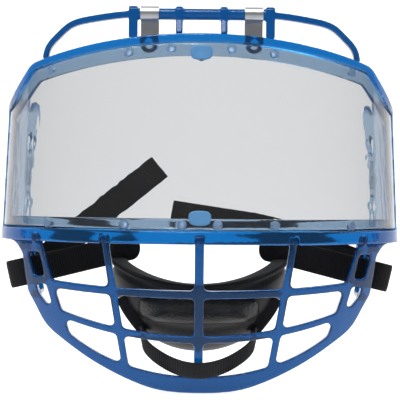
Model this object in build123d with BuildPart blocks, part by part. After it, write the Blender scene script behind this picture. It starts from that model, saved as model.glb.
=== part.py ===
"""Hybrid face mask for an ice-hockey helmet: a clear wrap-round lens in a translucent frame,
a moulded chin cage below it, a brow guard with two steel clips above it, and a chin cup on webbing.

Millimetres. +Z is up, the face of the mask looks along -Y and +X is the viewer's right.
The origin is the middle of the brow bar, on its axis.
"""

from build123d import *

import os
from math import cos, radians, sin

# Brow bar, the round bar that the two steel clips swing on
BAR_R = 3.0
BAR_HALF = 35.5  # middle of the bar to the middle of each thick post
THIN_POST_X = 11.6
THICK_POST_W = 4.6
THIN_POST_W = 3.6

POST_HALF_D = 3.2
POST_TOP = 4.0
ARM_W = 3.5
ARM_D = 4.6
ARM_OUT = 3.4  # how far the arms stand outside the frame's wall
ARM_PATH = (
    (BAR_HALF, -0.3),
    (47.0, -0.9),
    (59.0, -2.1),
    (69.0, -4.2),
    (76.0, -9.2),
    (81.6, -14.6),
    (84.0, -24.0),
)
ARM_TURN = (1, -0.45)  # front slope of the arm where its two curves meet
ARM_FOOT = (0.12, -1)
POST_CHAMFER = 1.6
POST_INSET = 0.4  # foot of each post inside the rim's two faces

# Plan of the window frame's outer wall: half an ellipse in front, then two long arcs behind
WIDEST_Y = 70.5
TOP_LEVEL = (4.0, 104.6, 73.2)  # height, half width, front-to-widest depth
LOW_LEVEL = (-136.0, 111.0, 85.2)
WING_BACK_Y = 112.5
WING_ARC_R = 420.0

REAR_CUT_Y = 96.0  # in front of this the top edge is cut to its front outline, behind it to the side one

# Walls
WALL = 2.4
LENS_T = 2.2
LENS_GAP = 0.1
LIP_STEP = 1.4  # how far the rim and the band stand proud of the lens
LIP_OUT = LENS_GAP + LENS_T + LIP_STEP

# Limits well outside the mask, for cutting solids
OUTSIDE_X = 135.0
OUTSIDE_Y = -60.0
FAR_BELOW = -420.0

# Heights of the window frame, at the middle of the face
RIM_TOP = -10.5
RIM_H = 4.3
FLANGE_TOP_H = 7.4
FLANGE_LOW_H = 6.2
BAND_TOP = -112.0
BAND_H = 6.9
RIM_ARC_R = 345.0  # the rim dips towards the sides on this radius
SHOULDER_X = 88.0
KNEE_DX = 4.3  # shoulder to the corner where the edge turns down
KNEE_R = 9.0
FOOT_DX = 20.9  # shoulder to the foot of the steep stretch
FOOT_R = 9.0
SIDE_EDGE_Z = -43.4  # top edge of the wing, beside the widest part
LENS_CLEAR = 0.3  # round the lens, inside the rim and above the band
LENS_REAR_Y = 66.0
WINDOW_REAR_Y = 58.0
SIDE_RIB = 9.0  # depth of the upright rib behind the lens's rear edge

# Rear edge of the wings
LOBE_TOP_Z = -37.0
LOBE_BACK_Y = 123.0
LOBE_LOW_Z = -55.0
LOBE_R = 8.0
LOBE_TUCK = 7.0  # lobe's rearmost point to the neck under it
NECK_DROP = 12.0
REAR_RAKE = 1.5  # how far the rear edge leans forward on its way down
WING_FOOT = (10.0, 9.0)  # length and height of the rounded lower corner
WING_LOW_Z = -118.0
WING_HOLE_R = 5.6
WING_HOLE_Y = 103.0
WING_HOLE_Z = (-62.5, -97.5)
LABEL_H = 17.0
LABEL_W = 9.0
LABEL_T = 0.2

# Chin cage: sections of its outer surface, from the band down to the chin
CAGE_TOP = BAND_TOP - BAND_H
CAGE_LEVELS = (
    (CAGE_TOP, 113.4, 86.6),
    (-144.0, 110.0, 84.0),
    (-168.0, 102.0, 76.5),
    (-200.5, 88.0, 62.0),
)
CAGE_WALL = 5.2
CENTRE_BAR_W = 4.7
BAY_REACH = 100.0
BAY_ABOVE = 12.0  # cutters run this far above the cage, and this far below its uprights' low height
STRAIGHT = 1e5  # climbing radius of a level edge
CAGE_SPARE = 10.0  # the cage's front outline closes this far above it
CAGE_REAR = 6.0  # its rear ends stand this far in front of the widest part
TENON_H = 4.0
TENON_W = 5.0
TENON_FIT = 0.1
BAY_FILLET = 2.2
TENON_ALIGN = (Align.CENTER, Align.CENTER, Align.MIN)
UPRIGHT_LOW_Z = -200.0
INNER_BAR = (48.2, 35.8)  # its middle line's place across at the band, and at the low height above
OUTER_BAR = (86.2, 60.5)
INNER_BAR_W = 3.8
OUTER_BAR_W = 4.6

# Bars of the cage, as heights at the middle and how far they climb towards the sides
BAR_1_Z = (-142.5, -146.6)
BAR_1_R = 900.0
BAR_2_Z = (-166.4, -170.2)
BAR_2_R = 240.0

# Side of the cage: the strap bar's outer edge, and the jaw line from there to the chin
GUSSET = ((110.0, CAGE_TOP), (99.5, CAGE_TOP - 2.0), (97.0, CAGE_TOP - 4.9), (95.4, CAGE_TOP - 7.9))
JAW = (
    (92.7, -145.5),
    (89.6, -151.2),
    (81.4, -164.6),
    (74.6, -170.0),
    (59.4, -180.0),
    (32.0, -193.2),
    (0.0, -197.8),
)
CHIN_EDGE = ((0.0, -188.6), (13.7, -188.1), (32.8, -184.6), (41.0, -182.2), (66.0, -169.6), (78.0, -157.0))
STRAP_SLOT = ((84.9, CAGE_TOP - 5.7), (91.9, CAGE_TOP - 5.7), (88.3, -137.4), (81.9, -137.4))
SIDE_GAP = ((81.2, -141.6), (87.4, -141.6), (85.2, -147.5), (76.8, -157.2))
SLOT_FILLET = 1.6
KEEPER_BAR_R = 1.6
KEEPER_BACK = 14.0  # middle of the strap bar's wall to the keeper bar's middle
KEEPER_TOP = (93.2, CAGE_TOP - 2.6)
KEEPER_LOW = (86.6, -147.0)
KEEPER_BEND = 3.0

# Lens studs and quarter-turn locks
STUD_R = 1.4
STUD_HEAD_R = 2.7
STUD_HEAD_T = 0.8
STUD_TAPER = 30.0
STUD_FIT = 0.05
STUDS_TOP_X = (15.3, 37.0, 79.0)
STUDS_LOW_X = (9.0, 38.0, 79.0)
STUD_LOW_Z = -109.2
LOCK_L = 11.4
LOCK_W = 7.6
LOCK_T = 1.5
LOCK_ROUND = 0.7
LOCK_SHANK_R = 2.0
LOCK_FIT = 0.05
LOCK_TOP_Z = -20.9
LOCK_LOW_Z = -105.7
KEEPER_R = 3.4
KEEPER_T = 0.9

LOCK_SEAT = 0.15  # head above the lens's crown
STUD_SEAT = 0.05
KEEPER_FIT = 0.15
PIN_REACH = 6.0
WING_BORE_REACH = 8.0

# Steel clips
CLIP_X = 27.0
CLIP_W = 9.4
CLIP_T = 1.0
CLIP_FIT = 0.06  # running clearance on the bar
CLIP_DROP = 20.0  # bar axis to the clip's rounded end
CLIP_HOLE_R = 2.7
CLIP_LEAF = 9.0  # the rolled end laps down behind the strip

# Chin cup: an open ellipsoid bowl
CUP_MID = (0.0, 56.0, -134.5)
CUP_SIZE = (49.0, 36.0, 47.0)
CUP_SHELL_T = 2.2
CUP_LINER_T = 4.5
CUP_FIT = 0.1
CUP_BACK_Y = 58.0
LIP_H = 3.4
LIP_PROUD = 1.2
LIP_SPARE = 6.0  # the lip's cutters run this far past the cup's sides
CUP_LIP_Z = -141.4
CUP_LIP_R = 92.0

# Pad on the front of the cup, and the two snaps that hold the lower strap
PAD_SIZE = (66.0, 15.4)
PAD_MID_Z = -155.6
PAD_T = 3.2
PAD_FIT = 0.1
SNAP_X = 30.0
SNAP_Z = -167.5
SNAP_R = 3.9
SNAP_T = 1.2
SNAP_TAPER = 20.0
SNAP_SHANK_R = 1.6
SNAP_FIT = 0.05
SNAP_LIFT = 1.7  # room for the strap under the cap
SHANK_INSET = 0.1

# Webbing: plan of the +X chin strap, from the cup round the keeper bar and back
STRAP_W = 15.0
STRAP_T = 1.5
STRAP_TILT = 13.0
STRAP_PIVOT = (93.0, -135.7)
STRAP_PLAN = (
    (34.0, 59.8),
    (50.0, 59.6),
    (62.0, 53.0),
    (76.0, 44.0),
    (86.0, 37.8),
    (93.0, 36.0),
    (101.5, 33.8),
    (105.0, 37.0),
    (102.0, 40.6),
    (94.0, 42.2),
    (84.0, 45.6),
)
STRAP_BEND = 1.6
TAILS = {
    "left": ((-91.0, 50.6, -133.4), (-23.5, 75.0, -77.0), 0.0),
    "right": ((91.5, 51.8, -131.4), (-16.5, 76.0, -104.0), 5.0),
}
TAIL_HEM = 11.0  # the free end is folded back on itself
PATCH_L = 24.0
PATCH_W = 13.0
PATCH_T = 0.8
PATCH_START = 1.0
LOWER_STRAP_W = 9.6
LOWER_STRAP_T = 1.4
LOWER_STRAP_TILT = 24.0
LOWER_STRAP_NOSE = (0.0, -1.4, -184.6)
LOWER_STRAP_PLAN = ((31.0, 38.0), (28.5, 21.0), (9.5, 0.0))
LOWER_STRAP_BEND = 7.0


def wall_section(level, grow):
    """Closed plan of the mask's wall at one height, grown outwards from the frame's outer face."""
    z, half_width, depth = level
    a, b = half_width + grow, depth + grow
    run = WING_BACK_Y + 30.0 - WIDEST_Y
    tuck = run**2 / (2 * WING_ARC_R)
    with BuildSketch(Plane.XY.offset(z)) as section:
        with BuildLine():
            EllipticalCenterArc((0, WIDEST_Y), a, b, start_angle=180, arc_size=180)
            right = TangentArc((a, WIDEST_Y), (a - tuck, WIDEST_Y + run), tangent=(0, 1))
            left = TangentArc((-a, WIDEST_Y), (tuck - a, WIDEST_Y + run), tangent=(0, 1))
            Line(right @ 1, left @ 1)
        make_face()
    return section.sketch


def wall_body(grow):
    """Solid inside the window frame's wall, grown outwards from its outer face."""
    with BuildPart() as body:
        add(wall_section(TOP_LEVEL, grow))
        add(wall_section(LOW_LEVEL, grow))
        loft()
    return body.part


def cage_body(grow):
    """Solid inside the chin cage, grown outwards from its outer face."""
    with BuildPart() as body:
        for z, half_width, depth in CAGE_LEVELS:
            with BuildSketch(Plane.XY.offset(z)):
                with BuildLine():
                    a, b = half_width + grow, depth + grow
                    EllipticalCenterArc((0, WIDEST_Y), a, b, start_angle=180, arc_size=180)
                    Line((a, WIDEST_Y), (-a, WIDEST_Y))
                make_face()
        loft()
    return body.part


def wall_point(x, z, grow=0.0):
    """Point on the front wall at a place across and a height, with the outward direction there."""
    top, low = TOP_LEVEL, LOW_LEVEL
    share = (top[0] - z) / (top[0] - low[0])
    a = top[1] + (low[1] - top[1]) * share + grow
    b = top[2] + (low[2] - top[2]) * share + grow
    y = -b * (1 - (x / a) ** 2) ** 0.5
    lean = (low[2] - top[2]) / (top[0] - low[0])
    outward = Vector(x / a**2, y / b**2, 0).normalized() + Vector(0, 0, lean)
    return Vector(x, WIDEST_Y + y, z), outward.normalized()


def rim_z(x):
    """Height of the rim's top edge at a place across the face."""
    return RIM_TOP - (RIM_ARC_R - (RIM_ARC_R**2 - x**2) ** 0.5)


def cut_along_y(sketch, y_from, y_to):
    """Solid of a front outline, drawn in the XZ plane, between two depths."""
    with BuildPart() as body:
        with BuildSketch(Plane.XZ.offset(-y_from)):
            add(sketch)
        extrude(amount=y_from - y_to)
    return body.part


def below_edge(drop, floor_z):
    """Front outline of everything under the top edge lowered by a drop, down to a level floor."""
    shoulder = (SHOULDER_X, rim_z(SHOULDER_X))
    knee = (SHOULDER_X + KNEE_DX, shoulder[1] - KNEE_DX * SHOULDER_X / RIM_ARC_R)
    foot = (SHOULDER_X + FOOT_DX, SIDE_EDGE_Z)
    with BuildSketch() as outline:
        with BuildLine():
            RadiusArc((0, RIM_TOP), shoulder, RIM_ARC_R)
            side = (OUTSIDE_X, SIDE_EDGE_Z)
            Polyline(shoulder, knee, foot, side, (OUTSIDE_X, FAR_BELOW), (0, FAR_BELOW), (0, RIM_TOP))
        make_face()
        fillet(outline.vertices().sort_by_distance(knee)[0], KNEE_R)
        fillet(outline.vertices().sort_by_distance(foot)[0], FOOT_R)
        mirror(about=Plane.YZ)
        if drop:
            offset(amount=-drop, kind=Kind.INTERSECTION)
        with Locations((0, floor_z)):
            Rectangle(4 * OUTSIDE_X, -2 * FAR_BELOW, align=(Align.CENTER, Align.MIN), mode=Mode.INTERSECT)
    return outline.sketch


def tenon_places():
    """Places across the face where the cage's uprights plug into the band."""
    return [side * x for x in (0.0, INNER_BAR[0], OUTER_BAR[0]) for side in (-1, 1) if x or side > 0]


def tenon_centre(x):
    """Middle of a tenon's foot, halfway through the band's wall."""
    return wall_point(x, CAGE_TOP, (LIP_OUT - WALL) / 2)[0]


def climb(x, radius):
    """How much a bar has risen at a place across the face."""
    return radius - (radius**2 - x**2) ** 0.5


def side_outline():
    """Side outline, for the YZ plane, of what is kept of the wings behind the widest part."""
    with BuildSketch() as outline:
        with BuildLine():
            start = (REAR_CUT_Y, SIDE_EDGE_Z)
            rise = Spline(start, (LOBE_BACK_Y - LOBE_R, LOBE_TOP_Z), tangents=((1, 0), (1, 0)))
            lobe = TangentArc(rise @ 1, (LOBE_BACK_Y, LOBE_TOP_Z - LOBE_R), tangent=(1, 0))
            neck = Spline(
                lobe @ 1,
                (LOBE_BACK_Y - LOBE_TUCK, LOBE_LOW_Z),
                (WING_BACK_Y, LOBE_LOW_Z - NECK_DROP),
                tangents=((0, -1), (0, -1)),
            )
            rear = Line(neck @ 1, (WING_BACK_Y - REAR_RAKE, WING_LOW_Z + WING_FOOT[1]))
            corner = TangentArc(rear @ 1, (WING_BACK_Y - WING_FOOT[0], WING_LOW_Z), tangent=rear % 1)
            Polyline(corner @ 1, (REAR_CUT_Y, WING_LOW_Z), start)
        make_face()
    return outline.sketch


def make_visor_frame():
    """Rim, flanges, lower band and both wings in one translucent moulding."""
    outer, face, inner = wall_body(LIP_OUT), wall_body(0), wall_body(-WALL)
    with BuildPart() as wings:
        with BuildSketch(Plane.YZ):
            add(side_outline())
        extrude(amount=OUTSIDE_X, both=True)
    with BuildPart() as frame:
        add(outer)
        add(inner, mode=Mode.SUBTRACT)
        front_keep = cut_along_y(below_edge(0, CAGE_TOP), OUTSIDE_Y, REAR_CUT_Y)
        add(front_keep + wings.part, mode=Mode.INTERSECT)

        # The lens lies on the wall's outer face, inside the rim, the band and the side ribs
        pocket = cut_along_y(below_edge(RIM_H, BAND_TOP), OUTSIDE_Y, LENS_REAR_Y) - face
        add(pocket, mode=Mode.SUBTRACT)
        with BuildSketch() as everything:
            Rectangle(4 * OUTSIDE_X, -2 * FAR_BELOW)
        behind_ribs = cut_along_y(everything.sketch, LENS_REAR_Y + SIDE_RIB, LENS_REAR_Y + OUTSIDE_X)
        add(behind_ribs - face, mode=Mode.SUBTRACT)

        # Window
        with BuildSketch() as window:
            add(below_edge(RIM_H + FLANGE_TOP_H, BAND_TOP + FLANGE_LOW_H))
        add(cut_along_y(window.sketch, OUTSIDE_Y, WINDOW_REAR_Y), mode=Mode.SUBTRACT)

        # Round holes through the wings
        for plane in wing_hole_planes():
            with BuildSketch(plane):
                Circle(WING_HOLE_R)
            extrude(amount=WING_BORE_REACH, both=True, mode=Mode.SUBTRACT)

        # Stud and lock holes
        for plane in stud_planes(0):
            with BuildSketch(plane):
                Circle(STUD_R + STUD_FIT)
            extrude(amount=PIN_REACH, both=True, mode=Mode.SUBTRACT)
        for plane in lock_planes(0):
            with BuildSketch(plane):
                Circle(LOCK_SHANK_R + LOCK_FIT)
            extrude(amount=PIN_REACH, both=True, mode=Mode.SUBTRACT)

        # Sockets for the chin cage's tenons
        for x in tenon_places():
            with Locations(tenon_centre(x)):
                size = TENON_W + 2 * TENON_FIT
                Box(size, size, TENON_H + TENON_FIT, align=TENON_ALIGN, mode=Mode.SUBTRACT)
    return frame.part


def wing_slope(y):
    """Angle by which the wing has turned inwards at a depth, in radians."""
    return (y - WIDEST_Y) / WING_ARC_R


def wing_hole_planes():
    """Planes on the middle of the wing wall at each round hole, facing outwards."""
    planes = []
    for side in (-1, 1):
        for z in WING_HOLE_Z:
            point, outward = wing_point(side, WING_HOLE_Y, z, -WALL / 2)
            planes.append(Plane(origin=point, z_dir=outward))
    return planes


def wing_point(side, y, z, grow):
    """Point on one wing's wall behind the widest part, with the level outward direction."""
    top, low = TOP_LEVEL, LOW_LEVEL
    share = (top[0] - z) / (top[0] - low[0])
    a = top[1] + (low[1] - top[1]) * share + grow
    x = a - (y - WIDEST_Y) ** 2 / (2 * WING_ARC_R)
    return Vector(side * x, y, z), Vector(side, wing_slope(y), 0).normalized()


def stud_places():
    """Place across and height of every lens stud, top row first."""
    top = [(side * x, rim_z(x) - RIM_H - FLANGE_TOP_H / 2) for x in STUDS_TOP_X for side in (-1, 1)]
    low = [(side * x, STUD_LOW_Z) for x in STUDS_LOW_X for side in (-1, 1)]
    return top, low


def stud_planes(grow):
    """Planes on the wall at every stud, facing outwards."""
    top, low = stud_places()
    return [Plane(origin=p, z_dir=n) for p, n in (wall_point(x, z, grow) for x, z in top + low)]


def lock_planes(grow):
    """Planes on the wall at the top and the bottom lock, with their long side level."""
    planes = []
    for z in (LOCK_TOP_Z, LOCK_LOW_Z):
        point, outward = wall_point(0, z, grow)
        planes.append(Plane(origin=point, x_dir=(1, 0, 0), z_dir=outward))
    return planes


def make_lens():
    """Clear lens, wrapped from one side rib to the other."""
    with BuildPart() as lens:
        add(wall_body(LENS_GAP + LENS_T))
        add(wall_body(LENS_GAP), mode=Mode.SUBTRACT)
        outline = below_edge(RIM_H + LENS_CLEAR, BAND_TOP + LENS_CLEAR)
        add(cut_along_y(outline, OUTSIDE_Y, LENS_REAR_Y - LENS_CLEAR), mode=Mode.INTERSECT)
        for plane in stud_planes(0):
            with BuildSketch(plane):
                Circle(STUD_R + STUD_FIT)
            extrude(amount=PIN_REACH, both=True, mode=Mode.SUBTRACT)
        for plane in lock_planes(0):
            with BuildSketch(plane):
                Circle(LOCK_SHANK_R + LOCK_FIT)
            extrude(amount=PIN_REACH, both=True, mode=Mode.SUBTRACT)
    return lens.part


def make_studs(planes):
    """One row of snap studs: a shank through lens and flange under a low domed head."""
    with BuildPart() as studs:
        for plane in planes:
            with BuildSketch(plane.offset(-WALL)):
                Circle(STUD_R)
            extrude(amount=WALL + LENS_GAP + LENS_T + STUD_SEAT)
            with BuildSketch(plane.offset(LENS_GAP + LENS_T + STUD_SEAT)):
                Circle(STUD_HEAD_R)
            extrude(amount=STUD_HEAD_T, taper=STUD_TAPER)
    return studs.part


def make_lock(plane):
    """Quarter-turn lock: an oval head over the lens on a round shank."""
    seat = LENS_GAP + LENS_T + LOCK_SEAT
    with BuildPart() as lock:
        with BuildSketch(plane.offset(seat)):
            Ellipse(LOCK_L / 2, LOCK_W / 2)
        extrude(amount=LOCK_T)
        fillet(lock.faces().sort_by(Axis(plane.origin, plane.z_dir))[-1].edges(), LOCK_ROUND)
        with BuildSketch(plane.offset(-WALL - KEEPER_FIT - KEEPER_T)):
            Circle(LOCK_SHANK_R)
        extrude(amount=WALL + KEEPER_FIT + KEEPER_T + seat)
    return lock.part


def make_lock_keeper(plane):
    """Push-on washer that holds a lock's shank behind the flange."""
    with BuildPart() as keeper:
        with BuildSketch(plane.offset(-WALL - KEEPER_FIT - KEEPER_T)):
            Circle(KEEPER_R)
            Circle(LOCK_SHANK_R, mode=Mode.SUBTRACT)
        extrude(amount=KEEPER_T)
    return keeper.part


def make_label(side):
    """Blank label on the outside of one wing, between its two holes."""
    centre_z = sum(WING_HOLE_Z) / 2
    with BuildPart() as label:
        add(wall_body(LABEL_T))
        add(wall_body(0), mode=Mode.SUBTRACT)
        with Locations((side * OUTSIDE_X / 2, WING_HOLE_Y, centre_z)):
            Box(OUTSIDE_X, LABEL_W, LABEL_H, mode=Mode.INTERSECT)
    return label.part


def make_brow_guard():
    """Round bar between two thick posts, two thin posts, and an arm to each corner of the rim."""
    with BuildPart() as guard:
        with BuildSketch(Plane.YZ.offset(-BAR_HALF)):
            Circle(BAR_R)
        extrude(amount=2 * BAR_HALF)
        for x, width in ((THIN_POST_X, THIN_POST_W), (BAR_HALF, THICK_POST_W)):
            mid = wall_point(x, RIM_TOP)[0].Y - (LIP_OUT - WALL) / 2
            half = (LIP_OUT + WALL) / 2
            for side in (-1, 1):
                with BuildSketch(Plane.YZ.offset(side * x)):
                    with BuildLine():
                        Polyline(
                            (-POST_HALF_D, POST_TOP - POST_CHAMFER),
                            (-POST_HALF_D + POST_CHAMFER, POST_TOP),
                            (POST_HALF_D - POST_CHAMFER, POST_TOP),
                            (POST_HALF_D, POST_TOP - POST_CHAMFER),
                            (POST_HALF_D, -BAR_R),
                            (mid + half - POST_INSET, RIM_TOP),
                            (mid + half - POST_INSET, RIM_TOP - RIM_H),
                            (mid - half + POST_INSET, RIM_TOP - RIM_H),
                            (mid - half + POST_INSET, RIM_TOP),
                            (-POST_HALF_D, -BAR_R),
                            close=True,
                        )
                    make_face()
                extrude(amount=width / 2, both=True)
        add(make_arms())
        below = cut_along_y(below_edge(0, FAR_BELOW), OUTSIDE_Y, OUTSIDE_X)
        add(below, mode=Mode.SUBTRACT)
    return guard.part


def make_arms():
    """The two arms of the brow guard, bent down to the corners of the rim."""
    with BuildPart() as arms:
        add(wall_body(ARM_OUT))
        add(wall_body(ARM_OUT - ARM_D), mode=Mode.SUBTRACT)
        with BuildSketch(Plane.XZ.offset(-OUTSIDE_Y)):
            with BuildLine():
                Spline(*ARM_PATH[:4], tangents=((1, 0), ARM_TURN))
                Spline(*ARM_PATH[3:], tangents=(ARM_TURN, ARM_FOOT))
            trace(line_width=ARM_W)
            mirror(about=Plane.YZ)
        extrude(amount=OUTSIDE_Y - REAR_CUT_Y, mode=Mode.INTERSECT)
    return arms.part


def row_between(upper, lower):
    """Front band between two curves, each given as (height at the middle, climbing radius)."""
    with BuildSketch() as band:
        with BuildLine():
            ends = [(side * BAY_REACH, z + climb(BAY_REACH, r)) for z, r in (upper, lower) for side in (1, -1)]
            ThreePointArc(ends[0], (0, upper[0]), ends[1])
            Line(ends[1], ends[3])
            ThreePointArc(ends[3], (0, lower[0]), ends[2])
            Line(ends[2], ends[0])
        make_face()
    return band.sketch


def above_chin_edge():
    """Front area above the inner edge of the chin rim."""
    with BuildSketch() as area:
        with BuildLine():
            edge = Spline(*CHIN_EDGE, tangents=((1, 0), (0.6, 1)))
            Polyline(edge @ 1, (OUTSIDE_X, CAGE_TOP), (0, CAGE_TOP), (0, CHIN_EDGE[0][1]))
        make_face()
        mirror(about=Plane.YZ)
    return area.sketch


def bar_at(bar, z):
    """Place across of an upright's middle line at a height."""
    return bar[0] + (bar[1] - bar[0]) * (CAGE_TOP - z) / (CAGE_TOP - UPRIGHT_LOW_Z)


def column_between(inner, inner_w, outer, outer_w):
    """Front band between the facing edges of two uprights, on the +X side."""
    top, low = CAGE_TOP + 2 * BAY_ABOVE, UPRIGHT_LOW_Z - BAY_ABOVE
    with BuildSketch() as column:
        with BuildLine():
            Polyline(
                (bar_at(inner, top) + inner_w / 2, top),
                (bar_at(outer, top) - outer_w / 2, top),
                (bar_at(outer, low) - outer_w / 2, low),
                (bar_at(inner, low) + inner_w / 2, low),
                close=True,
            )
        make_face()
    return column.sketch


def make_bays():
    """The twelve openings between the cage's bars, as cutters."""
    rows = (
        ((CAGE_TOP + BAY_ABOVE, STRAIGHT), (BAR_1_Z[0], BAR_1_R)),
        ((BAR_1_Z[1], BAR_1_R), (BAR_2_Z[0], BAR_2_R)),
        ((BAR_2_Z[1], BAR_2_R), (UPRIGHT_LOW_Z - BAY_ABOVE, STRAIGHT)),
    )
    columns = (
        ((0.0, 0.0), CENTRE_BAR_W, INNER_BAR, INNER_BAR_W),
        (INNER_BAR, INNER_BAR_W, OUTER_BAR, OUTER_BAR_W),
    )
    bays = []
    for upper, lower in rows:
        for column in columns:
            with BuildSketch() as bay:
                add(row_between(upper, lower))
                add(column_between(*column), mode=Mode.INTERSECT)
                if lower[1] == STRAIGHT:
                    add(above_chin_edge(), mode=Mode.INTERSECT)
                fillet(bay.vertices(), BAY_FILLET)
                mirror(about=Plane.YZ)
            bays.append(bay.sketch)
    return bays


def cage_outline():
    """Front outline of the chin cage."""
    with BuildSketch() as outline:
        with BuildLine():
            gusset = Spline(*GUSSET, tangents=((-1, 0), (-0.25, -1)))
            bar = Line(gusset @ 1, JAW[0])
            jaw = Spline(*JAW, tangents=((-0.35, -1), (-1, 0)))
            above = CAGE_TOP + CAGE_SPARE
            Polyline(jaw @ 1, (0, above), (GUSSET[0][0], above), GUSSET[0])
        make_face()
        mirror(about=Plane.YZ)
    return outline.sketch


def make_chin_cage():
    """Chin rim, bars, strap bars and keepers in one moulding, plugged into the band."""
    with BuildPart() as cage:
        add(cage_body(0))
        add(cage_body(-CAGE_WALL), mode=Mode.SUBTRACT)
        add(cut_along_y(cage_outline(), OUTSIDE_Y, WIDEST_Y - CAGE_REAR), mode=Mode.INTERSECT)
        for bay in make_bays():
            add(cut_along_y(bay, OUTSIDE_Y, WIDEST_Y), mode=Mode.SUBTRACT)
        for corners in (STRAP_SLOT, SIDE_GAP):
            with BuildSketch() as gap:
                with BuildLine():
                    Polyline(*corners, close=True)
                make_face()
                fillet(gap.vertices(), SLOT_FILLET)
                mirror(about=Plane.YZ)
            add(cut_along_y(gap.sketch, OUTSIDE_Y, WIDEST_Y), mode=Mode.SUBTRACT)
        for x in tenon_places():
            with Locations(tenon_centre(x)):
                Box(TENON_W, TENON_W, TENON_H, align=TENON_ALIGN)
        for side in (-1, 1):
            add(make_keeper_bar(side))
    return cage.part


def cage_depth(x, z, grow):
    """Depth of the cage's surface at a place across and a height."""
    levels = CAGE_LEVELS
    upper, lower = next(pair for pair in zip(levels, levels[1:]) if pair[1][0] <= z)
    share = (upper[0] - z) / (upper[0] - lower[0])
    a = upper[1] + (lower[1] - upper[1]) * share + grow
    b = upper[2] + (lower[2] - upper[2]) * share + grow
    return WIDEST_Y - b * (1 - (x / a) ** 2) ** 0.5


def make_keeper_bar(side):
    """Round bar that stands behind one strap bar, for the webbing to turn round."""
    (top_x, top_z), (low_x, low_z) = KEEPER_TOP, KEEPER_LOW
    top_y = cage_depth(top_x, top_z, -CAGE_WALL / 2)
    low_y = cage_depth(low_x, low_z, -CAGE_WALL / 2)
    back = max(top_y, low_y) + KEEPER_BACK
    with BuildPart() as keeper:
        with BuildLine() as path:
            FilletPolyline(
                (side * top_x, top_y, top_z),
                (side * top_x, back, top_z),
                (side * low_x, back, low_z),
                (side * low_x, low_y, low_z),
                radius=KEEPER_BEND,
            )
        with BuildSketch(Plane(origin=path.line @ 0, z_dir=path.line % 0)):
            Circle(KEEPER_BAR_R)
        sweep()
    return keeper.part


def make_clip(side):
    """Steel strip rolled round the brow bar and hanging behind the rim, with a screw hole."""
    inner, outer = BAR_R + CLIP_FIT, BAR_R + CLIP_FIT + CLIP_T
    with BuildPart() as clip:
        with BuildSketch(Plane.YZ.offset(side * CLIP_X)):
            Circle(outer)
            Circle(inner, mode=Mode.SUBTRACT)
            with Locations((inner + CLIP_T / 2, 0)):
                Rectangle(CLIP_T, CLIP_DROP, align=(Align.CENTER, Align.MAX))
            with Locations((inner + 1.5 * CLIP_T, 0)):
                Rectangle(CLIP_T, CLIP_LEAF, align=(Align.CENTER, Align.MAX))
        extrude(amount=CLIP_W / 2, both=True)
        reach = 2 * outer
        with BuildSketch(Plane.XZ.offset(-reach)):
            with Locations((side * CLIP_X, 0)):
                Rectangle(CLIP_W, 2 * reach)
            with Locations((side * CLIP_X, -CLIP_DROP / 2)):
                Rectangle(CLIP_W, CLIP_DROP - CLIP_W)
            with Locations((side * CLIP_X, CLIP_W / 2 - CLIP_DROP)):
                Circle(CLIP_W / 2)
                Circle(CLIP_HOLE_R, mode=Mode.SUBTRACT)
        extrude(amount=2 * reach, mode=Mode.INTERSECT)
    return clip.part


def lip_height(x):
    """Height of the chin cup's top edge at a place across the face."""
    return CUP_LIP_Z + climb(x, CUP_LIP_R)


def cup_bowl(grow):
    """Solid ellipsoid of the chin cup, grown outwards from its outer face."""
    with BuildPart() as bowl:
        add(scale(Solid.make_sphere(1.0), by=tuple(size + grow for size in CUP_SIZE)).moved(Location(CUP_MID)))
    return bowl.part


def under_lip(drop):
    """Front area under the cup's top edge, lowered by a drop."""
    reach = CUP_SIZE[0] + LIP_SPARE
    with BuildSketch() as area:
        with BuildLine():
            left, right = ((s * reach, lip_height(reach) - drop) for s in (-1, 1))
            ThreePointArc(left, (0, CUP_LIP_Z - drop), right)
            Polyline(right, (reach, FAR_BELOW), (-reach, FAR_BELOW), left)
        make_face()
    return area.sketch


def make_cup_layer(outside, inside, top_drop, low_drop=None):
    """One layer of the chin cup between two ellipsoids, from one drop under the lip downwards."""
    with BuildPart() as layer:
        add(cup_bowl(outside))
        add(cup_bowl(inside), mode=Mode.SUBTRACT)
        add(cut_along_y(under_lip(top_drop), OUTSIDE_Y, CUP_BACK_Y), mode=Mode.INTERSECT)
        if low_drop is not None:
            add(cut_along_y(under_lip(low_drop), OUTSIDE_Y, OUTSIDE_X), mode=Mode.SUBTRACT)
    return layer.part


def make_front_pad():
    """Soft pad on the front of the chin cup, under its lip."""
    width, height = PAD_SIZE
    with BuildPart() as pad:
        add(cup_bowl(PAD_FIT + PAD_T))
        add(cup_bowl(PAD_FIT), mode=Mode.SUBTRACT)
        with BuildSketch() as outline:
            with Locations((0, PAD_MID_Z)):
                RectangleRounded(width, height, height / 3)
        add(cut_along_y(outline.sketch, OUTSIDE_Y, CUP_MID[1] - PAD_T), mode=Mode.INTERSECT)
    return pad.part


def snap_planes():
    """Planes on the cup's outer face under the lower strap's two ends, facing outwards."""
    a, b, c = CUP_SIZE
    z = SNAP_Z - CUP_MID[2]
    y = -b * (1 - (SNAP_X / a) ** 2 - (z / c) ** 2) ** 0.5
    planes = []
    for side in (-1, 1):
        point = Vector(side * SNAP_X, CUP_MID[1] + y, SNAP_Z)
        planes.append(Plane(origin=point, z_dir=(side * SNAP_X / a**2, y / b**2, z / c**2)))
    return planes


def make_cup_shell():
    """Moulded shell of the chin cup, with the two snap holes."""
    with BuildPart() as shell:
        add(make_cup_layer(0, -CUP_SHELL_T, LIP_H))
        for plane in snap_planes():
            with BuildSketch(plane.offset(-2 * CUP_SHELL_T)):
                Circle(SNAP_SHANK_R + SNAP_FIT)
            extrude(amount=4 * CUP_SHELL_T, mode=Mode.SUBTRACT)
    return shell.part


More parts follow.
